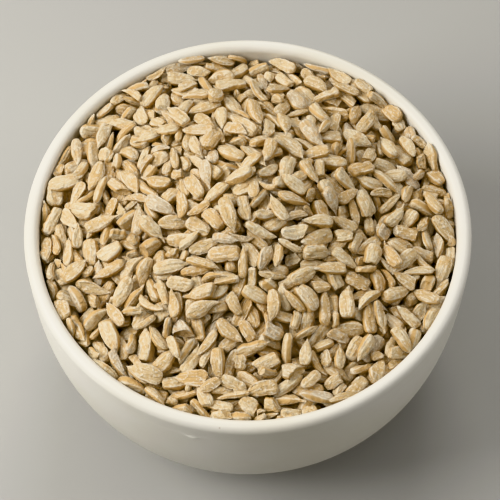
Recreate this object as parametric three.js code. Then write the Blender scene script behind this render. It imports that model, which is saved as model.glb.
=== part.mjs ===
// A round cream ceramic bowl, filled and heaped with hulled sunflower kernels.
// Millimetres, +Z up. The origin is the centre of the foot, on the surface the bowl stands on.
import * as THREE from 'three';

// ---- driving dimensions ----------------------------------------------------------------------

// bowl
const rimRadius = 65;         // outside of the lip
const bowlHeight = 66;        // from the foot to the top of the lip
const lipRadius = 2.1;        // the wall ends in a full round of this radius
const wallTaper = 0.019;      // the side leans in by this much for each millimetre down
const wallExponent = 3.41;    // how squarely the upright side turns in under the bowl
const outerDepth = 66;        // lip centre to where the outside would close without a foot
const floorHeight = 6.5;      // inside bottom above the table
const footRadius = 38;        // outside of the foot ring
const footWidth = 6;          // of the foot ring
const footChamfer = 0.8;      // softens the ring's edges
const footRecess = 1.2;       // how far the underside is set in within the ring
const turns = 64;             // facets round the bowl
const wallSteps = 12;         // points down each side of the wall
const lipSteps = 8;           // points round the lip

// heap
const gap = 0.4;              // between the heap and the bowl
const heapRings = 25;         // rings of points over the top of the heap
const heapPeak = 14;          // peak above the lip's centre
const peakX = 0;              // the peak stands a little behind the middle
const peakY = 6;
const bellShare = 0.65;       // the heap is this much a bell, level at the rim, and the rest a dome
const bellSlant = 0.3;        // it is more of a bell to the right, and more of a dome to the left
const domePower = 1.6;        // of the dome: 1 is a cone and 2 is round
const edgeLevel = -1.8;       // level of the heap at the wall, from the lip's centre
const dipDepth = 3.8;         // the heap is this much lower where the wall shows at the back
const dipX = 2;
const dipWidth = 11;          // along the wall
const dipReach = 8;           // in from the wall
const swell = 0.5;            // broad unevenness of the heap
const knoll = { x: 10, y: 5, radius: 13, rise: 1.2 };
const hollow = { x: 34, y: -3, radius: 14, rise: -2.0 };
const sideSpacing = 6;        // spacing of points on the hidden underside

// kernels that shape the top of the heap
const kernelCount = 300;
const kernelLength = 9.6;     // a common whole kernel
const kernelLengthSpread = 1.9;
const kernelSlimness = 0.46;  // width over length
const kernelLift = 1.7;       // how far a kernel stands out of the heap
const kernelLiftSpread = 0.8;
const quietRim = 5;           // kernels lie flatter within this distance of the wall

// ---- derived dimensions ----------------------------------------------------------------------

const lipZ = bowlHeight - lipRadius;
const innerRadius = rimRadius - 2 * lipRadius;
const innerDepth = lipZ - floorHeight;
const heapRadius = innerRadius - gap - 0.1;
const goldenAngle = Math.PI * (3 - Math.sqrt(5));

// ---- bowl ------------------------------------------------------------------------------------

// A point of the wall's curve: t runs from 0 at the lip's centre to 1 on the axis.
function wallPoint(topRadius, depth, t) {
  const angle = t * Math.PI / 2;
  const down = depth * Math.sin(angle) ** (2 / wallExponent);
  const reach = Math.max(Math.cos(angle), 0) ** (2 / wallExponent);
  return new THREE.Vector2((topRadius - wallTaper * down) * reach, lipZ - down);
}

function wallCurve(topRadius, depth) {
  const points = [];
  for (let i = 0; i <= wallSteps; i++) points.push(wallPoint(topRadius, depth, i / wallSteps));
  return points;
}

function footCurve() {
  const inside = footRadius - footWidth;
  return [
    new THREE.Vector2(0, footRecess),
    new THREE.Vector2(inside, footRecess),
    new THREE.Vector2(inside + footChamfer, 0),
    new THREE.Vector2(footRadius - footChamfer, 0),
    new THREE.Vector2(footRadius, footChamfer),
  ];
}

// Where the outside of the wall comes down to the foot ring.
function footJoin() {
  const inward = (footRadius / rimRadius) ** wallExponent;
  const down = outerDepth * (1 - inward) ** (1 / wallExponent);
  return new THREE.Vector2(footRadius, lipZ - down);
}

function lipCurve() {
  const points = [];
  for (let i = 1; i < lipSteps; i++) {
    const angle = i * Math.PI / lipSteps;
    const r = rimRadius - lipRadius + lipRadius * Math.cos(angle);
    points.push(new THREE.Vector2(r, lipZ + lipRadius * Math.sin(angle)));
  }
  return points;
}

function bowlGeometry() {
  const outside = wallCurve(rimRadius, outerDepth).filter((p) => p.x > footRadius + 1);
  const inside = wallCurve(innerRadius, innerDepth);
  const profile = [...footCurve(), footJoin(), ...outside.reverse(), ...lipCurve(), ...inside];
  return new THREE.LatheGeometry(profile, turns).rotateX(Math.PI / 2);
}

// ---- heap ------------------------------------------------------------------------------------

// A repeatable scatter value between -1 and 1.
function scatter(index, salt) {
  const wave = Math.sin(index * 12.9898 + salt * 78.233) * 43758.5453;
  return 2 * (wave - Math.floor(wave)) - 1;
}

function kernelScatter() {
  const kernels = [];
  for (let i = 0; i < kernelCount; i++) {
    const r = heapRadius * Math.sqrt((i + 0.5) / kernelCount);
    const angle = i * goldenAngle;
    const length = kernelLength + kernelLengthSpread * scatter(i, 1);
    kernels.push({
      x: r * Math.cos(angle),
      y: r * Math.sin(angle),
      yaw: Math.PI * scatter(i, 2),
      halfLength: length / 2,
      halfWidth: length * kernelSlimness / 2,
      lift: kernelLift + kernelLiftSpread * scatter(i, 3),
    });
  }
  return kernels;
}

const kernels = kernelScatter();

// How far the kernels stand out of the heap at a place: the highest of the low mounds there.
function kernelRelief(x, y) {
  let highest = 0;
  for (const k of kernels) {
    const along = ((x - k.x) * Math.cos(k.yaw) + (y - k.y) * Math.sin(k.yaw)) / k.halfLength;
    const across = ((y - k.y) * Math.cos(k.yaw) - (x - k.x) * Math.sin(k.yaw)) / k.halfWidth;
    const inside = 1 - along * along - across * across;
    if (inside > 0) highest = Math.max(highest, k.lift * Math.sqrt(inside));
  }
  return highest;
}

function swelling(shape, x, y) {
  const away = Math.hypot(x - shape.x, y - shape.y) / shape.radius;
  return shape.rise * Math.exp(-away * away);
}

function backDip(x, y) {
  if (y < 0) return 0;
  const along = (x - dipX) / dipWidth;
  const inward = (heapRadius - Math.hypot(x, y)) / dipReach;
  return dipDepth * Math.exp(-along * along - inward * inward);
}

// Height of the heap over a place, without its kernels.
function moundHeight(x, y) {
  const centred = 1 - (x * x + y * y) / (heapRadius * heapRadius);
  const s = Math.min(Math.hypot(x - peakX * centred, y - peakY * centred) / heapRadius, 1);
  const bell = (1 + Math.cos(Math.PI * s)) / 2;
  const dome = 1 - s ** domePower;
  const bellHere = bellShare + bellSlant * x / heapRadius;
  const fullness = bellHere * bell + (1 - bellHere) * dome;
  const waves = Math.sin(x / 9 + 1.3) * Math.cos(y / 11 - 0.4) + 0.6 * Math.sin((x - y) / 7);
  return lipZ + edgeLevel + (heapPeak - edgeLevel) * fullness + swell * waves * centred
    + swelling(knoll, x, y) + swelling(hollow, x, y) - backDip(x, y);
}

function heapTop(x, y) {
  const fromWall = heapRadius - Math.hypot(x, y);
  const settled = 0.35 + 0.65 * Math.min(fromWall / quietRim, 1);
  return moundHeight(x, y) + kernelRelief(x, y) * settled - kernelLift / 2;
}

function ring(radius, count, heightAt) {
  const points = [];
  for (let i = 0; i < count; i++) {
    const angle = 2 * Math.PI * i / count;
    const x = radius * Math.cos(angle);
    const y = radius * Math.sin(angle);
    points.push(new THREE.Vector3(x, y, heightAt(x, y)));
  }
  return points;
}

// Rings over the top, out to the wall, then down the side and in along the bottom of the bowl.
function heapRingList() {
  const rings = [[new THREE.Vector3(0, 0, heapTop(0, 0))]];
  for (let i = 1; i <= heapRings; i++) rings.push(ring(heapRadius * i / heapRings, 6 * i, heapTop));
  for (const p of wallCurve(innerRadius, innerDepth).slice(1, -1)) {
    const radius = p.x - gap;
    const count = Math.max(6, Math.round(2 * Math.PI * radius / sideSpacing));
    rings.push(ring(radius, count, () => p.y + gap));
  }
  rings.push([new THREE.Vector3(0, 0, floorHeight + gap)]);
  return rings;
}

// Triangles of the band between two rings, which may hold different numbers of points.
function band(first, second, firstStart, secondStart) {
  const firstSteps = first.length > 1 ? first.length : 0;   // a lone point has no way round
  const secondSteps = second.length > 1 ? second.length : 0;
  const triangles = [];
  let i = 0;
  let j = 0;
  while (i < firstSteps || j < secondSteps) {
    const a = firstStart + i % first.length;
    const b = secondStart + j % second.length;
    const secondIsNext = i === firstSteps
      || (j < secondSteps && (j + 1) / secondSteps <= (i + 1) / firstSteps);
    if (secondIsNext) j++;
    else i++;
    const c = secondIsNext ? secondStart + j % second.length : firstStart + i % first.length;
    triangles.push(a, b, c);
  }
  return triangles;
}

function heapGeometry() {
  const rings = heapRingList();
  const positions = [];
  const triangles = [];
  let start = 0;
  rings.forEach((points, index) => {
    for (const p of points) positions.push(p.x, p.y, p.z);
    const next = rings[index + 1];
    if (next) triangles.push(...band(points, next, start, start + points.length));
    start += points.length;
  });
  const geometry = new THREE.BufferGeometry();
  geometry.setAttribute('position', new THREE.Float32BufferAttribute(positions, 3));
  geometry.setIndex(triangles);
  geometry.computeVertexNormals();
  return geometry;
}

// ---- the object ------------------------------------------------------------------------------

const glaze = new THREE.MeshStandardMaterial({ color: '#ece8da', roughness: 0.2, metalness: 0 });
const kernel = new THREE.MeshStandardMaterial({ color: '#c4a980', roughness: 0.7, metalness: 0 });

const bowl = new THREE.Mesh(bowlGeometry(), glaze);
bowl.name = 'bowl';

const seedHeap = new THREE.Mesh(heapGeometry(), kernel);
seedHeap.name = 'seed_heap';

const group = new THREE.Group();
group.add(bowl, seedHeap);

export default group;
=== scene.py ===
# A cream glazed bowl heaped with hulled sunflower kernels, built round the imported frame.
import math

import bpy
import numpy as np
from mathutils import Matrix, Vector
from mathutils.bvhtree import BVHTree


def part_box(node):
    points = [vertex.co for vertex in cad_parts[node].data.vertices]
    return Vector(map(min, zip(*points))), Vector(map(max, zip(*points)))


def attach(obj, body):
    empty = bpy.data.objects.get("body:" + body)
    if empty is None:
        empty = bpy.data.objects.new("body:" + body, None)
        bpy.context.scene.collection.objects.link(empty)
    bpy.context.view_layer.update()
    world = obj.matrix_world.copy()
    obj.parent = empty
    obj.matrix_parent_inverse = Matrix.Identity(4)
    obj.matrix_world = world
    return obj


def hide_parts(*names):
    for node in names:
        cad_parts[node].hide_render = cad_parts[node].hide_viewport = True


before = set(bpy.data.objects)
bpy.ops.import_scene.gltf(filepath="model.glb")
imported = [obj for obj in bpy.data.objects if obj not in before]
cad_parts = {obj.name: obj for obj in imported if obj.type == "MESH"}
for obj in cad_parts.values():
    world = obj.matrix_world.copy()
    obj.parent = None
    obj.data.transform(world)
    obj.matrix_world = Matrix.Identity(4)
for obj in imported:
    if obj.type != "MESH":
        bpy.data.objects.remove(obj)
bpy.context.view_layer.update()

MM = 0.001               # the kernels and the bowl are worked out in millimetres

# ---- sizes, in millimetres ------------------------------------------------------------------

bowl_low, bowl_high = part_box("bowl")
RIM_RADIUS = (bowl_high.x - bowl_low.x) / 2 / MM
BOWL_HEIGHT = bowl_high.z / MM
LIP_RADIUS = 2.1         # the wall ends in a full round
WALL_TAPER = 0.019       # the side leans in by this much for each millimetre down
WALL_EXPONENT = 3.41     # how squarely the upright side turns in under the bowl
OUTER_DEPTH = 66.0       # lip centre to where the outside would close without a foot
FLOOR_HEIGHT = 6.5       # inside bottom above the table
FOOT_RADIUS = 38.0
FOOT_WIDTH = 6.0
FOOT_RECESS = 1.2
FOOT_ROUND = 0.8
GROOVE_DOWN = 4.6        # a faint line round the outside, this far under the lip's centre
GROOVE_WIDTH = 0.7
GROOVE_DEPTH = 0.06
PIMPLE_TURN = math.radians(256.2)    # a small drop in the glaze, under the lip, front left
PIMPLE_HEIGHT = 57.8
PIMPLE_SIZE = (1.5, 0.55, 0.42)      # half width, half height, and how far it stands out
SPECK = (-0.0078, -0.0636, 0.0656)   # a brown point on the front of the lip, in metres

LIP_Z = BOWL_HEIGHT - LIP_RADIUS
INNER_RADIUS = RIM_RADIUS - 2 * LIP_RADIUS
INNER_DEPTH = LIP_Z - FLOOR_HEIGHT

# ---- camera, from the photograph ------------------------------------------------------------

IMAGE_PIXELS = 500
CAMERA_DISTANCE = 0.600          # metres, from the lip's centre
CAMERA_ELEVATION = math.radians(61.43)
FOCAL_PIXELS = 2063
LIP_CENTRE_PIXEL = (247.9, 228.3)
SENSOR_WIDTH = 36.0


def make_camera():
    data = bpy.data.cameras.new("camera")
    data.sensor_width = SENSOR_WIDTH
    data.lens = FOCAL_PIXELS * SENSOR_WIDTH / IMAGE_PIXELS
    data.clip_start, data.clip_end = 0.05, 20
    camera = bpy.data.objects.new("camera", data)
    bpy.context.scene.collection.objects.link(camera)
    bpy.context.scene.camera = camera
    back = Vector((0, -math.cos(CAMERA_ELEVATION), math.sin(CAMERA_ELEVATION)))
    forward, right = -back, Vector((1, 0, 0))
    up = right.cross(forward)
    # turned a little, so that the lip's centre lands on its own pixel
    turn = math.atan2(LIP_CENTRE_PIXEL[0] - IMAGE_PIXELS / 2, FOCAL_PIXELS)
    tilt = math.atan2(IMAGE_PIXELS / 2 - LIP_CENTRE_PIXEL[1], FOCAL_PIXELS)
    forward, up = (math.cos(tilt) * forward - math.sin(tilt) * up,
                   math.cos(tilt) * up + math.sin(tilt) * forward)
    forward, right = (math.cos(turn) * forward - math.sin(turn) * right,
                      math.cos(turn) * right + math.sin(turn) * forward)
    place = Vector((0, 0, LIP_Z * MM)) + CAMERA_DISTANCE * back
    axes = Matrix((right, up, -forward)).transposed().to_4x4()
    camera.matrix_world = Matrix.Translation(place) @ axes


make_camera()

# ---- meshes from arrays ---------------------------------------------------------------------


def link_mesh(name, points, faces, attributes=None):
    """A smooth mesh from points in millimetres and arrays of faces. The faces of one array all
    have as many corners. Attributes have one value, or one vector, for each point."""
    mesh = bpy.data.meshes.new(name)
    mesh.vertices.add(len(points))
    mesh.vertices.foreach_set("co", (np.asarray(points) * MM).astype(np.float32).ravel())
    counts = np.concatenate([np.full(len(f), f.shape[1]) for f in faces]).astype(np.int32)
    corners = np.concatenate([f.ravel() for f in faces]).astype(np.int32)
    mesh.loops.add(len(corners))
    mesh.loops.foreach_set("vertex_index", corners)
    mesh.polygons.add(len(counts))
    starts = np.concatenate([[0], np.cumsum(counts)[:-1]]).astype(np.int32)
    mesh.polygons.foreach_set("loop_start", starts)
    mesh.polygons.foreach_set("use_smooth", np.ones(len(counts), bool))
    for key, values in (attributes or {}).items():
        values = np.asarray(values, np.float32)
        vector = values.ndim == 2
        layer = mesh.attributes.new(key, "FLOAT_VECTOR" if vector else "FLOAT", "POINT")
        layer.data.foreach_set("vector" if vector else "value", values.ravel())
    mesh.update(calc_edges=True)
    mesh.validate()
    piece = bpy.data.objects.new(name, mesh)
    bpy.context.scene.collection.objects.link(piece)
    return piece


def closed_grid_faces(rings, segments, first, pole_a, pole_b):
    """Faces of a closed skin: rings of points, with one point at each end."""
    def at(ring, segment):
        return first + ring * segments + segment

    i, j = np.meshgrid(np.arange(rings - 1), np.arange(segments), indexing="ij")
    k = (j + 1) % segments
    quads = np.stack([at(i, j), at(i + 1, j), at(i + 1, k), at(i, k)], -1).reshape(-1, 4)
    j = np.arange(segments)
    k = (j + 1) % segments
    start = np.stack([np.full(segments, pole_a), at(0, j), at(0, k)], -1)
    end = np.stack([np.full(segments, pole_b), at(rings - 1, k), at(rings - 1, j)], -1)
    return quads, np.concatenate([start, end])


# ---- bowl -----------------------------------------------------------------------------------

BOWL_SEGMENTS = 160
OUTSIDE_POINTS = 90
INSIDE_POINTS = 60
LIP_POINTS = 21
FOOT_POINTS = 5
UNDERSIDE_RADII = (8.0, 16.0, 24.0)
WALL_TO_FOOT = 0.5                       # the wall's curve stops this far outside the foot
EASE_POWER = 1.7
PIMPLE_STEPS = np.linspace(-2, 2, 17)    # finer points round the drop, in its half sizes


def eased(count):
    """Steps from 0 to 1, closer together at both ends, where the wall's formula moves fast."""
    u = np.linspace(0, 1, count)
    near = 0.5 * (2 * np.minimum(u, 0.5)) ** EASE_POWER
    far = 1 - 0.5 * (2 * (1 - np.maximum(u, 0.5))) ** EASE_POWER
    return np.where(u < 0.5, near, far)


def wall_curve(top_radius, depth, count, more=()):
    """(radius, height) down one side of the wall, from the lip's centre to the axis, with
    points at more depths if wanted."""
    angle = eased(count) * math.pi / 2
    extra = np.arcsin((np.asarray(more, float) / depth) ** (WALL_EXPONENT / 2))
    angle = np.sort(np.concatenate([angle, extra]))
    down = depth * np.sin(angle) ** (2 / WALL_EXPONENT)
    reach = np.maximum(np.cos(angle), 0) ** (2 / WALL_EXPONENT)
    return (top_radius - WALL_TAPER * down) * reach, LIP_Z - down


def arc(centre_r, centre_z, radius, start, end, count):
    angle = np.radians(np.linspace(start, end, count))
    return centre_r + radius * np.cos(angle), centre_z + radius * np.sin(angle)


def hill(values, width):
    return np.exp(-(values / width) ** 2)


def bowl_profile():
    """From the middle of the underside, out over the foot, up, over the lip and down inside."""
    ring_in = FOOT_RADIUS - FOOT_WIDTH
    flat = np.array([*UNDERSIDE_RADII, ring_in - 1])
    underside = (flat, np.full(len(flat), FOOT_RECESS))
    inner_edge = arc(ring_in + FOOT_ROUND, FOOT_ROUND, FOOT_ROUND, 180, 270, FOOT_POINTS)
    outer_edge = arc(FOOT_RADIUS - FOOT_ROUND, FOOT_ROUND, FOOT_ROUND, 270, 360, FOOT_POINTS)
    near_pimple = LIP_Z - PIMPLE_HEIGHT + PIMPLE_STEPS * PIMPLE_SIZE[1]
    out_r, out_z = wall_curve(RIM_RADIUS, OUTER_DEPTH, OUTSIDE_POINTS, near_pimple)
    down = LIP_Z - out_z
    out_r = out_r - GROOVE_DEPTH * np.exp(-((down - GROOVE_DOWN) / GROOVE_WIDTH) ** 2)
    shown = out_r > FOOT_RADIUS + WALL_TO_FOOT
    outside = (out_r[shown][::-1], out_z[shown][::-1])
    lip = arc(RIM_RADIUS - LIP_RADIUS, LIP_Z, LIP_RADIUS, 0, 180, LIP_POINTS)
    lip = (lip[0][1:-1], lip[1][1:-1])
    in_r, in_z = wall_curve(INNER_RADIUS, INNER_DEPTH, INSIDE_POINTS)
    inside = (in_r[:-1], in_z[:-1])
    runs = [underside, inner_edge, outer_edge, outside, lip, inside]
    return np.concatenate([r for r, z in runs]), np.concatenate([z for r, z in runs])


def make_bowl():
    """The profile turned about the axis, with the drop in the glaze standing out of it."""
    r, z = bowl_profile()
    wide, tall, out = PIMPLE_SIZE
    evenly = np.arange(BOWL_SEGMENTS) * 2 * math.pi / BOWL_SEGMENTS
    near_pimple = PIMPLE_TURN + PIMPLE_STEPS * wide / RIM_RADIUS
    turn = np.sort(np.concatenate([evenly, near_pimple]))
    r, z = r[:, None], z[:, None]
    pimple = hill((turn - PIMPLE_TURN) * RIM_RADIUS, wide) * hill(z - PIMPLE_HEIGHT, tall)
    r = r + out * pimple * (r > INNER_RADIUS + 1)
    points = np.stack([r * np.cos(turn), r * np.sin(turn), z + 0 * r], -1).reshape(-1, 3)
    ends = np.array([[0, 0, FOOT_RECESS], [0, 0, FLOOR_HEIGHT]])
    quads, fans = closed_grid_faces(len(r), len(turn), 0, len(points), len(points) + 1)
    # the profile runs outwards and up, so its faces are turned to point out
    return link_mesh("bowl_glazed", np.concatenate([points, ends]), [quads[:, ::-1], fans[:, ::-1]])


# ---- the heap's surface ---------------------------------------------------------------------

CELL = 0.4                # of the height map over the bowl's mouth
HALF_MAP = 64.0
CELLS = int(2 * HALF_MAP / CELL)
CELL_CENTRES = (np.arange(CELLS) + 0.5) * CELL - HALF_MAP
GRID_X, GRID_Y = np.meshgrid(CELL_CENTRES, CELL_CENTRES, indexing="ij")
GRID_R = np.hypot(GRID_X, GRID_Y)
RAY_STEP = 3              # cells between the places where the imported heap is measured
RAY_EDGE = 1.0            # and how far inside the wall the last of them lie
SURFACE_BLUR = 6          # in cells


def blurred(values, width):
    """A Gaussian blur, in cells, with the edge values carried on outside."""
    reach = int(3 * width)
    weights = np.exp(-0.5 * (np.arange(-reach, reach + 1) / width) ** 2)
    weights /= weights.sum()
    for axis in (0, 1):
        padded = np.pad(values, [(reach, reach) if a == axis else (0, 0) for a in (0, 1)], "edge")
        values = sum(weight * np.take(padded, np.arange(i, i + CELLS), axis)
                     for i, weight in enumerate(weights))
    return values


def heap_surface():
    """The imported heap's top as a smooth height map: its height every few cells, then blurred."""
    tree = BVHTree.FromObject(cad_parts["seed_heap"], bpy.context.evaluated_depsgraph_get())
    coarse = CELL_CENTRES[::RAY_STEP]
    heights = np.zeros((len(coarse), len(coarse)))
    limit = INNER_RADIUS - RAY_EDGE
    for i, x in enumerate(coarse):
        for j, y in enumerate(coarse):
            pull = min(1.0, limit / max(math.hypot(x, y), 1e-6))
            hit = tree.ray_cast(Vector((x * pull * MM, y * pull * MM, 1)), Vector((0, 0, -1)))
            heights[i, j] = hit[0].z / MM
    i = np.clip(np.arange(CELLS) / RAY_STEP, 0, len(coarse) - 1)
    low = np.minimum(i.astype(int), len(coarse) - 2)
    share = i - low
    rows = heights[low] * (1 - share[:, None]) + heights[low + 1] * share[:, None]
    full = rows[:, low] * (1 - share) + rows[:, low + 1] * share
    return blurred(full, SURFACE_BLUR)


def wall_limit(z):
    """How far from the axis a point at height z may be and still lie inside the bowl."""
    down = np.clip(LIP_Z - z, 0, INNER_DEPTH * 0.999)
    below = (INNER_RADIUS - WALL_TAPER * down) * (
        1 - (down / INNER_DEPTH) ** WALL_EXPONENT) ** (1 / WALL_EXPONENT)
    over = np.clip(z - LIP_Z, 0, LIP_RADIUS)
    rounding = LIP_RADIUS - np.sqrt(LIP_RADIUS ** 2 - over ** 2)
    return below + rounding


# ---- kernel shapes --------------------------------------------------------------------------

# Each pair is a mean and a spread, and lengths are in millimetres.
COMMON = dict(
    length=(9.6, 0.9),      # tip to tip
    slim=(0.400, 0.040),    # width over length
    flat=(0.66, 0.08),      # thickness over width
    widest=(0.38, 0.07),    # where along the kernel
    blunt=(2.6, 0.4),       # squareness of the round end
    body=(0.97, 0.03),      # how much of the length the body takes, before a thin tail
    taper=(2.1, 0.3),       # how long the sides stay full towards the tip
    point=(0.82, 0.14),     # above 1 the tip is hollow-sided, and below 1 it is full
    tail=(0.12, 0.04),      # width of the tail
    lean=(0.0, 0.14),       # one side fuller than the other
    ragged=(0.032, 0.015),  # unevenness of the outline
    notch=(0.00, 0.12),     # a nick in one side
    chop_back=(0.0, 0.03),  # how much of the round end is squared off
    chop_tip=(-0.02, 0.03),
    facet=(0.52, 0.22),     # 0 is a round section, and 1 is one of flat faces
    bevel=(0.52, 0.16),     # width of the slanting faces beside the flat top
    crown=(0.16, 0.10),     # how far the flat top falls towards its sides
    soft=(0.07, 0.02),      # rounding between the faces
    square=(2.3, 0.3),      # squareness of the round section
    edge=(0.36, 0.08),      # thickness of the edge over the kernel's
    hollow=(0.0, 0.10),     # a sunken middle
    grooves=(3.0, 0.6),     # lines along each face
    groove_depth=(0.12, 0.05),
    border=(0.07, 0.06),    # a raised line along the edges
    dents=(0.16, 0.08),
    lumps=(0.07, 0.025),
    curl=(0.0, 0.35),
    bend=(0.0, 0.30),
    hook=(0.0, 0.40),       # the tip turned aside
    twist=(0.0, 0.22),
    cut=(1.0, 0.0),         # how much of the length is left of a broken one
    half=(0.0, 0.0),        # 1 for a kernel split along its middle
)
KINDS = {
    "kernels_plump": dict(share=0.20, flat=(0.76, 0.08), facet=(0.30, 0.18), edge=(0.42, 0.08)),
    "kernels_tailed": dict(share=0.15, length=(10.0, 0.8), slim=(0.41, 0.03), widest=(0.36, 0.05),
                           blunt=(3.2, 0.5), body=(0.85, 0.05), taper=(2.6, 0.4),
                           point=(0.75, 0.12), tail=(0.34, 0.06), hook=(0.0, 0.7)),
    "kernels_squared": dict(share=0.17, length=(7.7, 1.0), slim=(0.48, 0.05), widest=(0.48, 0.07),
                            blunt=(3.6, 0.6), taper=(3.4, 0.6), point=(0.45, 0.10),
                            chop_back=(0.05, 0.05), chop_tip=(0.03, 0.05), facet=(0.80, 0.15),
                            dents=(0.24, 0.10), groove_depth=(0.18, 0.05), ragged=(0.04, 0.02)),
    "kernels_slender": dict(share=0.15, length=(8.9, 1.0), slim=(0.29, 0.04), flat=(0.84, 0.10),
                            taper=(2.6, 0.5), blunt=(2.8, 0.5), grooves=(2.0, 0.4),
                            groove_depth=(0.13, 0.04), curl=(0.0, 0.5), bend=(0.0, 0.5),
                            chop_back=(0.02, 0.04), facet=(0.75, 0.20), lean=(0.0, 0.30)),
    "kernels_broad": dict(share=0.09, length=(10.0, 1.0), slim=(0.43, 0.04), flat=(0.48, 0.07),
                          facet=(0.85, 0.12), bevel=(0.35, 0.10), grooves=(4.2, 0.6),
                          groove_depth=(0.20, 0.05), point=(0.9, 0.15), border=(0.11, 0.05),
                          tail=(0.16, 0.05), twist=(0.0, 0.35), curl=(0.0, 0.5),
                          hollow=(0.15, 0.10), ragged=(0.045, 0.02)),
    "kernels_broken": dict(share=0.12, cut=(0.62, 0.10), slim=(0.44, 0.04), blunt=(2.8, 0.4),
                           dents=(0.26, 0.1), facet=(0.70, 0.2)),
    "kernels_split": dict(share=0.06, length=(9.2, 0.9), slim=(0.44, 0.04), half=(1.0, 0.0),
                          blunt=(2.6, 0.3), body=(0.92, 0.05), tail=(0.18, 0.04)),
    "kernels_chips": dict(share=0.06, length=(4.6, 1.1), slim=(0.62, 0.10), flat=(0.58, 0.14),
                          blunt=(3.6, 0.6), taper=(3.4, 0.6), point=(0.45, 0.08),
                          chop_back=(0.12, 0.06), chop_tip=(0.10, 0.06), facet=(0.9, 0.1),
                          ragged=(0.09, 0.03), lean=(0.0, 0.35), lumps=(0.13, 0.04),
                          groove_depth=(0.08, 0.03), grooves=(1.6, 0.4), dents=(0.3, 0.1)),
}
CAP_SCALES = np.array([0.95, 0.66, 0.33])     # rings drawn in over a broken end
CAP_HOLLOW = 0.55                             # how far a broken end is sunk
WAVES = 5                                     # soft waves that make each kernel's lumps
WAVE_LENGTHS = (1.8, 5.5)                     # their least and greatest length
WAVE_AXES = np.array([0.7, 1.2, 1.2])         # they run across the kernel more than along it
DENTS = 3                                     # on each face
DENT_RANGES = (
    (0.12, 0.88),       # where along
    (-0.85, 0.85),      # where across
    (0.035, 0.13),      # how long
    (0.15, 0.45),       # how wide
    (0.0, 1.7),         # how deep
)
EDGE_WAVES = ((1.3, 1.0), (3.1, 0.7), (6.7, 0.5))    # cycles along an edge, and strength
GREY_SHARE = 0.10                             # of the kernels
GOLD_SHARE = 0.18


def kernel_traits(kind, count, rng):
    """The traits of count kernels of a kind, as arrays."""
    def spread(*shape):
        return np.clip(rng.normal(size=(count, *shape)), -2.2, 2.2)

    traits = {}
    for key, pair in {**COMMON, **KINDS[kind]}.items():
        if key != "share":
            traits[key] = pair[0] + pair[1] * spread()
    traits["cut"] = np.minimum(traits["cut"], 1.0)
    traits["body"] = np.minimum(traits["body"], 1.0)
    traits["facet"] = np.clip(traits["facet"], 0, 1)
    for key in ("notch", "chop_back", "chop_tip", "crown", "hollow"):
        traits[key] = np.maximum(traits[key], 0)
    traits["bevels"] = np.clip(traits["bevel"][:, None] + 0.25 * spread(4), 0.22, 1.5)
    traits["notch_at"] = rng.uniform(0.2, 0.8, count)
    traits["phase"] = rng.uniform(0, 2 * math.pi, (count, 4))
    traits["edge_phase"] = rng.uniform(0, 2 * math.pi, (count, 2, len(EDGE_WAVES)))
    direction = rng.normal(size=(count, WAVES, 3)) * WAVE_AXES
    direction /= np.linalg.norm(direction, axis=2, keepdims=True)
    traits["wave"] = direction * 2 * math.pi / rng.uniform(*WAVE_LENGTHS, (count, WAVES, 1))
    traits["wave_phase"] = rng.uniform(0, 2 * math.pi, (count, WAVES))
    traits["dent"] = np.stack([rng.uniform(*limits, (count, 2 * DENTS))
                               for limits in DENT_RANGES], -1)
    traits["slope"] = rng.normal(size=(count, 4)) * 0.35
    traits["tone"] = rng.uniform(0, 1, count)
    traits["grey"] = np.where(rng.uniform(0, 1, count) < GREY_SHARE, rng.uniform(0.3, 1, count), 0)
    traits["gold"] = np.where(rng.uniform(0, 1, count) < GOLD_SHARE, rng.uniform(0.3, 1, count), 0)
    return traits


def outline(s, k):
    """Half-width share along a kernel: a blunt end, the body, and a tail that may be hidden."""
    back = np.clip((k["widest"] - s) / k["widest"], 0, 1)
    front = np.clip((s - k["widest"]) / (k["body"] - k["widest"]), 0, 1)
    round_end = (1 - back ** k["blunt"]) ** (1 / k["blunt"])
    tip = (1 - front ** k["taper"]) ** k["point"]
    body = np.where(s < k["widest"], round_end, tip)
    rest = np.clip((1 - s) / (1 - 0.9 * k["body"]), 0, 1)
    tail = np.where(s < k["widest"], 0, k["tail"] * rest ** 0.55)
    return (body ** 4 + tail ** 4) ** 0.25


def soft_least(softness, *values):
    """The least of some values, with the corners between them rounded."""
    return -softness * np.log(sum(np.exp(-v / softness) for v in values))


def turn_steps(segments, shown_side):
    """Angles round a section, closer together on the side that shows (1 is the upper side)."""
    upper_count = segments // 2 + shown_side[:, None, None] * (segments // 7)
    j = np.arange(segments)[None, None, :]
    lower = math.pi * (1 + (j - upper_count) / (segments - upper_count))
    return np.where(j < upper_count, math.pi * j / upper_count, lower)


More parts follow.
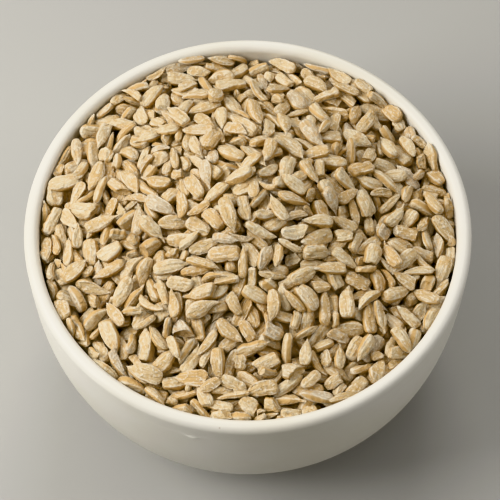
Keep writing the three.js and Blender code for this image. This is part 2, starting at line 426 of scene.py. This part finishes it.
def kernel_skins(traits, rings, segments, shown_side=None):
    """Points (kernel, point, xyz) of closed skins, ring by ring and then the two end points,
    with x along each kernel, and what the material needs to know about each point. In here an
    array's axes are kernel, ring and segment: s runs from 0 to 1 along, phi goes round, and
    across runs from -1 to 1 over a face."""
    k = {key: v[:, None, None] for key, v in traits.items() if v.ndim == 1}
    count = len(traits["length"])
    body = rings - len(CAP_SCALES)
    whole_s = (1 - np.cos(np.pi * np.arange(1, rings + 1) / (rings + 1))) / 2
    cut_s = 1 - np.cos(np.pi / 2 * np.minimum(np.arange(1, rings + 1) / body, 1))
    is_cut = traits["cut"][:, None] < 1
    s = np.where(is_cut, traits["cut"][:, None] * cut_s, whole_s)[:, :, None]
    drawn = np.ones(rings)
    drawn[body:] = CAP_SCALES
    drawn = np.where(is_cut, drawn, 1.0)[:, :, None]
    phi = turn_steps(segments, np.zeros(count, int) if shown_side is None else shown_side)
    across = np.cos(phi)
    near = np.abs(across)
    side = np.where(np.sin(phi) >= -1e-9, 1.0, -1.0)
    upper = side > 0
    p = traits["phase"][:, :, None, None]

    # the outline, uneven along both edges
    shape = outline(s, k)
    waves = [sum(strength * np.sin(2 * math.pi * cycles * s + phase[:, i, None, None])
                 for i, (cycles, strength) in enumerate(EDGE_WAVES))
             for phase in (traits["edge_phase"][:, 0], traits["edge_phase"][:, 1])]
    uneven = 1 + k["ragged"] * np.where(across > 0, waves[0], waves[1])
    uneven = uneven - np.where(across > 0, k["notch"] * hill(s - k["notch_at"], 0.04), 0)
    half_width = k["length"] * k["slim"] / 2
    half_thick = half_width * k["flat"]
    x = k["length"] * (s - 0.5) + 0 * phi
    y = half_width * shape * (across * (1 + (uneven - 1) * near) + k["lean"] * near)

    # the section: a flat top between two slanting faces, above and below
    b = traits["bevels"][:, :, None, None] * (1 + 0.25 * np.sin(math.pi * s + p[:, 3])[:, None])
    right = (1 - across) / np.where(upper, b[:, 0], b[:, 2])
    left = (1 + across) / np.where(upper, b[:, 1], b[:, 3])
    faceted = soft_least(k["soft"], 1 - k["crown"] * near ** 2, right, left)
    rounded = (1 - near ** k["square"]) ** (1 / k["square"])
    rise = k["facet"] * faceted + (1 - k["facet"]) * rounded
    rise = k["edge"] * np.sqrt(1 - near ** 8) + (1 - k["edge"]) * rise
    rise = rise - np.where(upper, k["hollow"] * (1 - near ** 2) ** 2, 0)
    z = half_thick * shape ** 0.7 * side * rise

    # lines run the length of both faces, and fade at the edges and ends
    wander = 0.8 * np.sin(2 * math.pi * s + p[:, 2]) + 0.4 * np.sin(5 * math.pi * s + p[:, 3])
    angle = math.pi * k["grooves"] * across + np.where(upper, p[:, 0], p[:, 1]) + wander
    groove = (0.5 + 0.5 * np.cos(angle)) ** 3
    face = np.sqrt(np.clip(1 - near ** 2, 0, 1)) * np.minimum(shape * 1.6, 1)
    relief = -k["groove_depth"] * groove * face
    window = np.clip(5 * (s - 0.04), 0, 1) * np.clip(5 * (0.93 - s), 0, 1)
    relief = relief + k["border"] * (hill(near - 0.90, 0.08) - hill(near - 0.72, 0.10)) * window
    for d in range(2 * DENTS):
        at_s, at_a, long, wide, deep = traits["dent"][:, d].T[:, :, None, None]
        dent = hill(s - at_s, long) * hill(across - at_a, wide) * deep * k["dents"]
        relief = relief - np.where(upper if d < DENTS else ~upper, dent, 0)
    z = z + side * relief * shape ** 0.5

    # the flat inner face of a kernel split in two, with its groove and its border
    inner = (0.34 * hill(across, 0.15) - 0.16 * hill(near - 0.92, 0.09)) * window - 0.10
    z = np.where(~upper & (k["half"] > 0.5), half_thick * shape * inner, z)
    # the fine seam round the edge where the two halves meet
    y = y - 0.05 * half_width * shape * np.sign(across) * hill(np.sin(phi), 0.22)

    # soft lumps
    start = np.stack([x, y, z], -1)
    lump = np.zeros(x.shape)
    for w in range(WAVES):
        direction = traits["wave"][:, w][:, None, None, :]
        lump += np.sin((start * direction).sum(-1) + traits["wave_phase"][:, w][:, None, None])
    lump *= k["lumps"] * np.sqrt(shape) / math.sqrt(WAVES) * 1.4
    y, z = y + across * lump, z + side * rise * lump

    # ends squared off by a slanting cut
    slope = traits["slope"][:, :, None, None]
    for end, chop, tilt in ((-1, k["chop_back"], 0), (1, k["chop_tip"], 2)):
        slant = (slope[:, tilt] * y + slope[:, tilt + 1] * z) * np.minimum(chop * 40, 1)
        x = end * np.minimum(end * x, k["length"] * (0.5 - chop) + slant)

    # a broken end is a rough, sunken, slanting face
    y, z = y * drawn, z * drawn
    rough = 0.16 * np.sin(2.3 * y + p[:, 0]) + 0.16 * np.sin(3.1 * z + p[:, 1])
    near_end = np.where(is_cut, (s[:, :, 0] / traits["cut"][:, None]) ** 8, 0)[:, :, None]
    x = x + near_end * (slope[:, 0] * y + slope[:, 1] * z + rough)
    x = x - CAP_HOLLOW * (1 - drawn)

    # the whole kernel is bent and twisted a little, and its tip turned aside
    u = 2 * (s - 0.5)
    turn = k["twist"] * u
    y, z = y * np.cos(turn) - z * np.sin(turn), y * np.sin(turn) + z * np.cos(turn)
    aside = np.clip((s - 0.6) / 0.4, 0, 1) ** 2
    x = x + k["length"] * (1 - k["cut"]) / 2
    y = y + k["bend"] * (u ** 2 - 0.4) + k["hook"] * aside
    z = z + k["curl"] * (u ** 2 - 0.4)

    grid = np.stack([x, y, z], -1)
    ends = grid[:, [0, -1]].mean(2)
    ends[:, 0, 0] -= np.where(traits["chop_back"] > 0.01, 0, traits["length"] * s[:, 0, 0] * 0.8)
    blunt_tip = is_cut[:, 0] | (traits["chop_tip"] > 0.01)
    ends[:, 1, 0] += np.where(blunt_tip, 0, traits["length"] * (1 - s[:, -1, 0]) * 0.5)
    points = np.concatenate([grid.reshape(count, -1, 3), ends], 1)

    def with_ends(values):
        full = np.broadcast_to(values, (count, rings, segments)).reshape(count, -1)
        return np.concatenate([full, full[:, :1], full[:, -1:]], 1)

    looks = {"groove": with_ends(groove * face), "rim": with_ends(near + 0 * s),
             "along": with_ends(s + 0 * phi), "broken": with_ends(1 - drawn + 0 * phi)}
    return points, looks


# ---- settling the kernels on each other -----------------------------------------------------

SEED = 20
KERNEL_LIMIT = 1500
LOOSE_KERNELS = 40       # laid on top at the end, wherever they fall
LOOSE_ALLOWANCE = 1.6
GAP_CHIPS = 170          # small pieces dropped into the gaps
GAP_ALLOWANCE = -0.4
CHOOSINESS = 0.4         # how far a kernel's first place may be from the lowest one
EDGE_LIFT = 1.4          # kernels lean up the wall
BACK_LIFT = 3.0          # and more so at the back
EDGE_REACH = 4.0
BARE_WALL = (6.0, 10.0)  # middle and width, along x, of the stretch at the back where
BARE_SHARE = 0.45        # they do so less
LAYER_DEPTH = 7.5        # of loose kernels over the core
TOP_ALLOWANCE = 0.1      # a kernel's middle stays this far over the mean surface
WALL_ALLOWANCE = 0.4
MISSES_ALLOWED = 70
JAMMED_SHARE = 0.18      # of the kernels that stand on edge or on end
WALL_SHARE = 0.22        # of the tries, made for kernels that lie along the wall
WALL_BAND = (1.0, 4.2)   # their middles are this far from it
PROXY = (9, 12)          # rings and segments of the skin that feels for a resting place
STAMP = (34, 34)         # and of the skin that is stamped into the height map
PRESS_IN = 0.22          # kernels may lie this far into each other
PLACES = 260             # picked at random for a kernel; the lowest are tried
LOOSE_PLACES = 3
PLACES_TRIED = 36
POSES_EACH = 5
PITCH_SPREAD = 0.23      # radians, of a kernel that lies flat
ROLL_SPREAD = 0.27
ALONG_WALL_SPREAD = 0.25
JAMMED_PITCH = (0.0, 0.8)
JAMMED_ROLL = (0.6, 1.6)
JAMMED_BY_WALL = 2       # times as often as elsewhere
MOVES = 40               # in each round of small moves
ROUNDS = ((0.7, 0.25), (0.4, 0.14), (0.2, 0.08), (0.1, 0.04))    # millimetres and radians
FLAT_TURNS = np.array([1, 0.6, 0.6])      # how much of that goes to yaw, pitch and roll
JAMMED_TURNS = np.array([1, 0.2, 0.2])


def turns_about(axis, angle):
    """Rotation matrices about x, y or z, for an array of angles."""
    c, s = np.cos(angle), np.sin(angle)
    out = np.zeros((len(angle), 3, 3))
    i, j = [(1, 2), (2, 0), (0, 1)][axis]
    out[:, axis, axis] = 1
    out[:, i, i] = out[:, j, j] = c
    out[:, i, j], out[:, j, i] = -s, s
    return out


class Heap:
    """A height map that kernels are dropped on, one at a time."""

    def __init__(self, target, rng):
        self.rng = rng
        self.target = target
        slope_x, slope_y = np.gradient(blurred(target, 5), CELL)
        normal = np.stack([-slope_x, -slope_y, np.ones_like(slope_x)], -1)
        self.normal = normal / np.linalg.norm(normal, axis=-1, keepdims=True)
        self.height = target - LAYER_DEPTH
        self.owner = np.full((CELLS, CELLS), -1)
        self.inside = np.argwhere(GRID_R < INNER_RADIUS - 1.2)
        from_wall = INNER_RADIUS - GRID_R
        self.by_wall = np.argwhere((from_wall > WALL_BAND[0]) & (from_wall < WALL_BAND[1]))

    def cell(self, xy):
        return np.clip(((xy + HALF_MAP) / CELL).astype(int), 0, CELLS - 1)

    def low_places(self, cells, count, tries):
        """The lowest of some of these cells, compared with the wanted surface."""
        picks = cells[self.rng.integers(0, len(cells), tries)]
        room = (self.target - self.height)[picks[:, 0], picks[:, 1]]
        best = picks[np.argsort(-room)[:count]]
        return CELL_CENTRES[best] + self.rng.uniform(-CELL, CELL, (count, 2))

    def turned(self, xy, angles):
        at = self.cell(xy)
        n = self.normal[at[:, 0], at[:, 1]]
        u = np.stack([n[:, 2], np.zeros(len(n)), -n[:, 0]], -1)
        u /= np.linalg.norm(u, axis=1, keepdims=True)
        base = np.stack([u, np.cross(n, u), n], -1)
        yaw, pitch, roll = angles.T
        return base @ turns_about(2, yaw) @ turns_about(1, pitch) @ turns_about(0, roll)

    def rest(self, points, xy, angles):
        """The lowest heights at which these poses lie on the heap, and how good each is."""
        matrices = self.turned(xy, angles)
        placed = points @ matrices.transpose(0, 2, 1)
        flat = placed[..., :2] + xy[:, None]
        at = self.cell(flat)
        drop = (self.height[at[..., 0], at[..., 1]] - placed[..., 2]).max(1) - PRESS_IN
        outside = np.hypot(flat[..., 0], flat[..., 1]) > wall_limit(placed[..., 2] + drop[:, None])
        middle = self.cell(xy)
        cost = drop - self.target[middle[:, 0], middle[:, 1]]
        return matrices, drop, np.where(outside.any(1), 1e6, cost)

    def settle(self, points, jammed, by_wall, tries):
        """Finds a place for one kernel: many guesses, then small moves from the best."""
        rng = self.rng
        cells = self.by_wall if by_wall else self.inside
        places = self.low_places(cells, min(tries, PLACES_TRIED), tries)
        xy = np.repeat(places, POSES_EACH, 0)
        count = len(xy)
        yaw = rng.uniform(0, 2 * math.pi, count)
        pitch = rng.normal(0, PITCH_SPREAD, count)
        roll = rng.normal(0, ROLL_SPREAD, count) + math.pi * rng.integers(0, 2, count)
        angles = np.stack([yaw, pitch, roll], -1)
        if jammed:
            angles[:, 1] = rng.choice([-1, 1]) * rng.uniform(*JAMMED_PITCH)
            angles[:, 2] = rng.choice([-1, 1]) * rng.uniform(*JAMMED_ROLL)
        if by_wall:
            along = np.arctan2(xy[:, 1], xy[:, 0]) + math.pi / 2
            aside = rng.normal(0, ALONG_WALL_SPREAD, count)
            angles[:, 0] = along + aside + math.pi * rng.integers(0, 2, count)
        matrices, drop, cost = self.rest(points, xy, angles)
        best = int(np.argmin(cost + rng.normal(0, CHOOSINESS, count)))
        for move, turn in ROUNDS:
            tries_xy = xy[best] + rng.normal(0, move, (MOVES, 2))
            spread = turn * (JAMMED_TURNS if jammed else FLAT_TURNS)
            tries_angles = angles[best] + rng.normal(0, 1, (MOVES, 3)) * spread
            xy = np.concatenate([xy[best:best + 1], tries_xy])
            angles = np.concatenate([angles[best:best + 1], tries_angles])
            matrices, drop, cost = self.rest(points, xy, angles)
            best = int(np.argmin(cost))
        return matrices[best], np.array([*xy[best], drop[best]]), cost[best]

    def stamp(self, points, index):
        """Raises the height map to a kernel that has come to rest."""
        at = self.cell(points[:, :2])
        flat = at[:, 0] * CELLS + at[:, 1]
        order = np.argsort(points[:, 2])
        height, owner = self.height.reshape(-1), self.owner.reshape(-1)
        cells, heights = flat[order], points[order, 2]
        higher = heights > height[cells]
        height[cells[higher]] = heights[higher]
        owner[cells[higher]] = index


def one(traits, index):
    """The traits of a single kernel."""
    return {key: values[index:index + 1] for key, values in traits.items()}


def pour_kernels(target):
    """Drops kernels until the heap is full. Returns the traits of each kind, and where each
    kernel lies and how much of it shows from above."""
    rng = np.random.default_rng(SEED)
    heap = Heap(target, rng)
    kinds = list(KINDS)
    shares = np.array([KINDS[kind]["share"] for kind in kinds])
    most_of_a_kind = KERNEL_LIMIT // 3
    traits = {kind: kernel_traits(kind, most_of_a_kind, rng) for kind in kinds}
    proxies = {kind: kernel_skins(traits[kind], *PROXY)[0] for kind in kinds}
    used = dict.fromkeys(kinds, 0)
    placed = []

    def pour(limit, allowance, tries, wall_share, shares=shares):
        misses = 0
        while len(placed) < limit and misses < MISSES_ALLOWED:
            kind = kinds[rng.choice(len(kinds), p=shares / shares.sum())]
            index = used[kind]
            by_wall = rng.uniform() < wall_share
            jammed = rng.uniform() < JAMMED_SHARE * (JAMMED_BY_WALL if by_wall else 1)
            matrix, place, cost = heap.settle(proxies[kind][index], jammed, by_wall, tries)
            if cost > (WALL_ALLOWANCE if by_wall else allowance):
                misses += 0 if by_wall else 1
                continue
            misses = 0
            stamp = kernel_skins(one(traits[kind], index), *STAMP)[0][0]
            heap.stamp(stamp @ matrix.T + place, len(placed))
            placed.append((kind, index, matrix, place))
            used[kind] += 1

    pour(KERNEL_LIMIT, TOP_ALLOWANCE, PLACES, WALL_SHARE)
    only_chips = np.array([1.0 * (kind == "kernels_chips") for kind in kinds])
    pour(len(placed) + GAP_CHIPS, GAP_ALLOWANCE, PLACES, 0, only_chips)
    pour(len(placed) + LOOSE_KERNELS, LOOSE_ALLOWANCE, LOOSE_PLACES, 0)
    shown = np.bincount(heap.owner[heap.owner >= 0], minlength=len(placed))
    print("kernels placed", len(placed), "showing", int((shown > 0).sum()))
    return traits, placed, shown


# ---- the kernels' meshes --------------------------------------------------------------------

# A kernel that shows in more cells than this is made of so many rings and segments.
DETAIL = ((75, (24, 28)), (24, (17, 18)), (-1, (9, 12)))
GRAIN_SPREAD = 400                              # so that no two kernels are marked alike
LOOKS = ("groove", "rim", "along", "broken")    # these vary over a kernel
TONES = ("tone", "grey", "gold")                # these are one value for each


def make_kernels(traits, placed, shown):
    """One joined mesh for each kind. Kernels that show more are made finer."""
    pieces = []
    rng = np.random.default_rng(SEED + 1)
    for kind in KINDS:
        mine = [i for i, row in enumerate(placed) if row[0] == kind]
        parts = {key: [] for key in ("points", "quads", "fans", "grain", *LOOKS, *TONES)}
        first = 0
        limit = math.inf
        for least, (rings, segments) in DETAIL:
            chosen = [i for i in mine if least < shown[i] <= limit]
            limit = least
            if not chosen:
                continue
            rows = np.array([placed[i][1] for i in chosen])
            some = {key: values[rows] for key, values in traits[kind].items()}
            matrices = np.array([placed[i][2] for i in chosen])
            # 1 where the upper side shows, -1 where the lower one does, and 0 on edge
            facing = np.round(matrices[:, 2, 2] * 1.2).astype(int)
            points, looks = kernel_skins(some, rings, segments, np.clip(facing, -1, 1))
            places = np.array([placed[i][3] for i in chosen])
            grain = points + rng.uniform(-GRAIN_SPREAD, GRAIN_SPREAD, (len(chosen), 1, 3))
            world = points @ matrices.transpose(0, 2, 1) + places[:, None]
            each = rings * segments + 2
            quads, fans = closed_grid_faces(rings, segments, 0, each - 2, each - 1)
            shifts = (first + np.arange(len(chosen)) * each)[:, None, None]
            first += len(chosen) * each
            parts["points"].append(world.reshape(-1, 3))
            parts["quads"].append((quads[None, :, ::-1] + shifts).reshape(-1, 4))
            parts["fans"].append((fans[None, :, ::-1] + shifts).reshape(-1, 3))
            parts["grain"].append(grain.reshape(-1, 3))
            for key in LOOKS:
                parts[key].append(looks[key].reshape(-1))
            for key in TONES:
                parts[key].append(np.repeat(some[key], each))
        if not parts["points"]:
            continue
        joined = {key: np.concatenate(values) for key, values in parts.items()}
        faces = [joined.pop("quads"), joined.pop("fans")]
        pieces.append(link_mesh(kind, joined.pop("points"), faces, joined))
        print(kind, len(mine), "kernels", 2 * len(faces[0]) + len(faces[1]), "triangles")
    return pieces


# ---- core -----------------------------------------------------------------------------------

CORE_RINGS = 60
CORE_SEGMENTS = 180
CORE_GAP = 0.5           # to the bowl
CORE_DROP = 0.8          # the core's top lies this far under the loose kernels
CORE_BUMPS = 900         # the shapes of more kernels
CORE_BUMP_SIZE = (4.6, 2.1, 1.6)     # half length, half width and height


def make_core(target):
    """What lies under the loose kernels: a solid with the relief of more kernels on top."""
    rng = np.random.default_rng(SEED + 2)
    turn = np.arange(CORE_SEGMENTS) * 2 * math.pi / CORE_SEGMENTS
    radius = (np.arange(CORE_RINGS) + 1) / CORE_RINGS * (INNER_RADIUS - CORE_GAP)
    x, y = radius[:, None] * np.cos(turn), radius[:, None] * np.sin(turn)
    at = np.clip(((np.stack([x, y], -1) + HALF_MAP) / CELL).astype(int), 0, CELLS - 1)
    layer_bottom = target[at[..., 0], at[..., 1]] - LAYER_DEPTH
    z = layer_bottom - CORE_DROP
    long, wide, high = CORE_BUMP_SIZE
    middles = rng.uniform(-60, 60, (2, CORE_BUMPS))
    for cx, cy, yaw in zip(*middles, rng.uniform(0, math.pi, CORE_BUMPS)):
        u = ((x - cx) * math.cos(yaw) + (y - cy) * math.sin(yaw)) / long
        v = ((y - cy) * math.cos(yaw) - (x - cx) * math.sin(yaw)) / wide
        inside = 1 - u * u - v * v
        bump = layer_bottom - high + high * np.sqrt(np.maximum(inside, 0))
        z = np.where(inside > 0, np.maximum(z, bump), z)
    top = np.stack([x, y, z], -1)
    in_r, in_z = wall_curve(INNER_RADIUS, INNER_DEPTH, 24)
    keep = in_z[:-1] < z[-1].min() - 1
    in_r, in_z = in_r[:-1][keep] - CORE_GAP, in_z[:-1][keep] + CORE_GAP
    side = np.stack([in_r[:, None] * np.cos(turn), in_r[:, None] * np.sin(turn),
                     np.broadcast_to(in_z[:, None], (len(in_r), CORE_SEGMENTS))], -1)
    grid = np.concatenate([top, side])
    ends = np.array([[0, 0, z[0].mean()], [0, 0, FLOOR_HEIGHT + CORE_GAP]])
    points = np.concatenate([grid.reshape(-1, 3), ends])
    quads, fans = closed_grid_faces(len(grid), CORE_SEGMENTS, 0, len(points) - 2, len(points) - 1)
    return link_mesh("heap_core_painted_shade", points, [quads, fans])


# ---- materials ------------------------------------------------------------------------------


class Graph:
    """A material's nodes, written as calls."""

    def __init__(self, name):
        self.material = bpy.data.materials.new(name)
        self.material.use_nodes = True
        self.tree = self.material.node_tree
        self.shader = self.tree.nodes["Principled BSDF"]

    def node(self, kind, inputs=(), **settings):
        made = self.tree.nodes.new(kind)
        for key, value in settings.items():
            setattr(made, key, value)
        for key, value in dict(inputs).items():
            self.feed(made.inputs[key], value)
        return made

    def feed(self, socket, value):
        if isinstance(value, bpy.types.NodeSocket):
            self.tree.links.new(value, socket)
        elif isinstance(value, tuple) and len(value) == 3 and socket.type == "RGBA":
            socket.default_value = (*value, 1)
        else:
            socket.default_value = value

    def attribute(self, name, output="Fac"):
        return self.node("ShaderNodeAttribute", attribute_name=name).outputs[output]

    def math(self, operation, *values):
        made = self.node("ShaderNodeMath", operation=operation)
        for socket, value in zip(made.inputs, values):
            self.feed(socket, value)
        return made.outputs[0]

    def ramp(self, value, low, high, to_low=0.0, to_high=1.0):
        """Goes smoothly from to_low to to_high while the value goes from low to high."""
        made = self.node("ShaderNodeMapRange", {"Value": value, "From Min": low, "From Max": high,
                                                "To Min": to_low, "To Max": to_high},
                         interpolation_type="SMOOTHSTEP")
        return made.outputs["Result"]

    def mix(self, share, a, b):
        made = self.node("ShaderNodeMix", data_type="RGBA")
        self.feed(made.inputs[0], share)
        self.feed(made.inputs[6], a)
        self.feed(made.inputs[7], b)
        return made.outputs[2]

    def scaled(self, vector, scale):
        return self.node("ShaderNodeVectorMath", {0: vector, 1: scale},
                         operation="MULTIPLY").outputs[0]

    def noise(self, vector, scale, detail=2.0, roughness=0.5):
        made = self.node("ShaderNodeTexNoise", {"Vector": vector, "Scale": scale,
                                                "Detail": detail, "Roughness": roughness})
        return made.outputs["Fac"]

    def bump(self, height, distance, strength=1.0):
        inputs = {"Height": height, "Distance": distance, "Strength": strength}
        return self.node("ShaderNodeBump", inputs).outputs[0]


# colours, as linear red, green and blue
TAN = (0.565, 0.395, 0.185)
PALE = (0.73, 0.59, 0.36)
GREY = (0.54, 0.455, 0.33)
GOLD = (0.59, 0.37, 0.135)
CREAM = (0.86, 0.80, 0.655)
BROWN = (0.45, 0.28, 0.115)


def kernel_material():
    g = Graph("kernel")
    grain = g.attribute("grain", "Vector")
    along = g.attribute("along")
    rim = g.attribute("rim")
    groove = g.attribute("groove")
    streak = g.noise(g.scaled(grain, (0.28, 1.7, 1.7)), 1.0, 3.0, 0.6)
    fine = g.noise(g.scaled(grain, (1.1, 3.2, 3.2)), 1.0, 3.0, 0.65)
    fleck = g.noise(grain, 1.3, 3.0, 0.6)
    patch = g.noise(grain, 0.4, 2.0)
    # each kernel's own tone
    colour = g.mix(g.attribute("tone"), TAN, PALE)
    colour = g.mix(g.math("MULTIPLY", g.attribute("gold"), 0.8), colour, GOLD)
    colour = g.mix(g.attribute("grey"), colour, GREY)
    # pale streaks along it, golden patches, darker lines, and pale and golden flecks
    colour = g.mix(g.ramp(streak, 0.48, 0.66, 0.0, 0.6), colour, CREAM)
    colour = g.mix(g.ramp(patch, 0.54, 0.64, 0.0, 0.6), colour, GOLD)
    colour = g.mix(g.ramp(groove, 0.3, 0.9, 0.0, 0.45), colour, BROWN)
    colour = g.mix(g.ramp(fleck, 0.55, 0.65, 0.0, 0.65), colour, CREAM)
    colour = g.mix(g.ramp(fleck, 0.44, 0.35, 0.0, 0.55), colour, GOLD)
    # a pale border, partly painted highlight; golden edges, partly the kernels' own golden margins
    # and partly painted shade; golden broken ends; and a pale tip
    # a cream line just inside each edge: partly remnants of the pale skin, partly a painted highlight
    # along the edges
    border = g.math("MULTIPLY", g.ramp(rim, 0.74, 0.86), g.ramp(rim, 0.97, 0.91))
    border = g.math("MULTIPLY", border, g.ramp(patch, 0.40, 0.55, 0.75, 0.25))
    colour = g.mix(border, colour, CREAM)
    # golden towards the edges: partly their own colour, partly painted shade where the sides turn
    # away from the light
    colour = g.mix(g.ramp(rim, 0.86, 1.0, 0.0, 0.9), colour, GOLD)
    colour = g.mix(g.ramp(g.attribute("broken"), 0.0, 0.3, 0.0, 0.6), colour, GOLD)
    tip = g.math("MULTIPLY", g.ramp(along, 0.84, 0.97), g.ramp(fine, 0.35, 0.6))
    colour = g.mix(g.math("MULTIPLY", tip, 0.85), colour, CREAM)
    g.feed(g.shader.inputs["Base Color"], colour)
    g.feed(g.shader.inputs["Roughness"], g.ramp(fine, 0.3, 0.7, 0.36, 0.58))
    g.shader.inputs["Specular IOR Level"].default_value = 0.55
    relief = g.math("ADD", g.math("MULTIPLY", streak, 0.7), g.math("MULTIPLY", fine, 0.5))
    relief = g.math("ADD", relief, g.math("MULTIPLY", fleck, 1.0))
    g.feed(g.shader.inputs["Normal"], g.bump(relief, 0.0006))
    return g.material


# Painted shade: the core is coloured dark brown, much darker than the kernels it stands for, so the
# gaps between the loose kernels read as deep shade.
CORE_PAINTED_SHADE_DARK = (0.10, 0.06, 0.025)
CORE_PAINTED_SHADE_LIGHTER = (0.26, 0.17, 0.08)


def core_painted_shade_material():
    g = Graph("heap_core_painted_shade")
    place = g.node("ShaderNodeTexCoord").outputs["Object"]
    spots = g.noise(place, 900.0, 3.0)
    # spots of two painted shade colours
    g.feed(g.shader.inputs["Base Color"], g.mix(spots, CORE_PAINTED_SHADE_DARK, CORE_PAINTED_SHADE_LIGHTER))
    g.shader.inputs["Roughness"].default_value = 0.85
    g.feed(g.shader.inputs["Normal"], g.bump(spots, 0.0004))
    return g.material


GLAZE = (0.71, 0.688, 0.625)
GLAZE_DEEP = (0.66, 0.63, 0.545)
BARE_CLAY = (0.58, 0.49, 0.38)
SPECK_COLOUR = (0.30, 0.20, 0.11)
GLAZE_STOPS = (0.0009, 0.0004)       # metres over the table, at the foot
SPECK_EDGE = (0.00032, 0.00015)      # metres from its middle
GLAZE_ROUGHNESS, CLAY_ROUGHNESS = 0.42, 0.85


def glaze_material():
    g = Graph("glaze")
    place = g.node("ShaderNodeTexCoord").outputs["Object"]
    cloud = g.noise(place, 22.0, 3.0)
    height = g.node("ShaderNodeSeparateXYZ", {0: place}).outputs["Z"]
    colour = g.mix(g.ramp(cloud, 0.35, 0.7), GLAZE, GLAZE_DEEP)
    colour = g.mix(g.ramp(height, *GLAZE_STOPS), colour, BARE_CLAY)
    away = g.node("ShaderNodeVectorMath", {0: place, 1: SPECK}, operation="DISTANCE").outputs["Value"]
    colour = g.mix(g.ramp(away, *SPECK_EDGE, 0.0, 0.5), colour, SPECK_COLOUR)
    g.feed(g.shader.inputs["Base Color"], colour)
    rough = g.ramp(height, *GLAZE_STOPS, GLAZE_ROUGHNESS, CLAY_ROUGHNESS)
    g.feed(g.shader.inputs["Roughness"], rough)
    g.shader.inputs["Specular IOR Level"].default_value = 0.5
    peel = g.noise(place, 260.0, 2.0)
    g.feed(g.shader.inputs["Normal"], g.bump(peel, 0.00004, 0.5))
    return g.material


# ---- the object -----------------------------------------------------------------------------

surface = heap_surface()
bare = hill(GRID_X - BARE_WALL[0], BARE_WALL[1]) * (GRID_Y > 0)
lift = EDGE_LIFT + BACK_LIFT * np.clip(GRID_Y / INNER_RADIUS, 0, 1)
by_the_wall = np.exp(-np.clip(INNER_RADIUS - GRID_R, 0, None) / EDGE_REACH)
surface += lift * (1 - BARE_SHARE * bare) * by_the_wall
bowl = make_bowl()
core = make_core(surface)
kernel_pieces = make_kernels(*pour_kernels(surface))

glaze = glaze_material()
kernel = kernel_material()
bowl.data.materials.append(glaze)
core.data.materials.append(core_painted_shade_material())

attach(bowl, "root")
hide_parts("bowl")
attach(core, "root")
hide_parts("seed_heap")
for piece in kernel_pieces:
    piece.data.materials.append(kernel)
    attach(piece, "root")
    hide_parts("seed_heap")

# ---- stage ----------------------------------------------------------------------------------

FLOOR_SIZE = 6.0
FLOOR_COLOUR = (0.38, 0.374, 0.352)
LIGHT_COLOUR = (1.0, 0.985, 0.96)
WORLD_COLOUR = (1.0, 0.98, 0.94)
WORLD_STRENGTH = 0.19
# azimuth and elevation in degrees, distance and size in metres, and level
LIGHTS = {
    "left": (185, 38, 0.6, 0.40, 1.38),
    "right": (4, 24, 2.0, 0.8, 0.24),
    "back": (85, 36, 2.0, 0.8, 0.40),
    "overhead": (90, 85, 2.0, 2.4, 0.26),
}


def make_floor():
    mesh = bpy.data.meshes.new("floor")
    h = FLOOR_SIZE / 2
    mesh.from_pydata([(-h, -h, 0), (h, -h, 0), (h, h, 0), (-h, h, 0)], [], [(0, 1, 2, 3)])
    floor = bpy.data.objects.new("floor", mesh)
    bpy.context.scene.collection.objects.link(floor)
    g = Graph("floor")
    g.shader.inputs["Base Color"].default_value = (*FLOOR_COLOUR, 1)
    g.shader.inputs["Roughness"].default_value = 0.9
    mesh.materials.append(g.material)


def make_light(name, azimuth, elevation, distance, size, level):
    """A square softbox. Its level is what it adds, face on, to a white surface at the bowl."""
    data = bpy.data.lights.new(name, "AREA")
    data.shape = "SQUARE"
    data.size = size
    data.energy = level * (math.pi * distance) ** 2
    data.color = LIGHT_COLOUR
    light = bpy.data.objects.new(name, data)
    bpy.context.scene.collection.objects.link(light)
    turn, rise = math.radians(azimuth), math.radians(elevation)
    level_part = math.cos(rise)
    toward = Vector((math.cos(turn) * level_part, math.sin(turn) * level_part, math.sin(rise)))
    light.location = Vector((0, 0, LIP_Z * MM)) + toward * distance
    light.rotation_mode = "QUATERNION"
    light.rotation_quaternion = toward.to_track_quat("Z", "Y")
    light.visible_camera = False


def make_world():
    world = bpy.data.worlds.new("world")
    bpy.context.scene.world = world
    world.use_nodes = True
    background = world.node_tree.nodes["Background"]
    background.inputs["Color"].default_value = (*WORLD_COLOUR, 1)
    background.inputs["Strength"].default_value = WORLD_STRENGTH


make_floor()
for light_name, setting in LIGHTS.items():
    make_light(light_name, *setting)
make_world()
bpy.context.scene.view_settings.view_transform = "Khronos PBR Neutral"
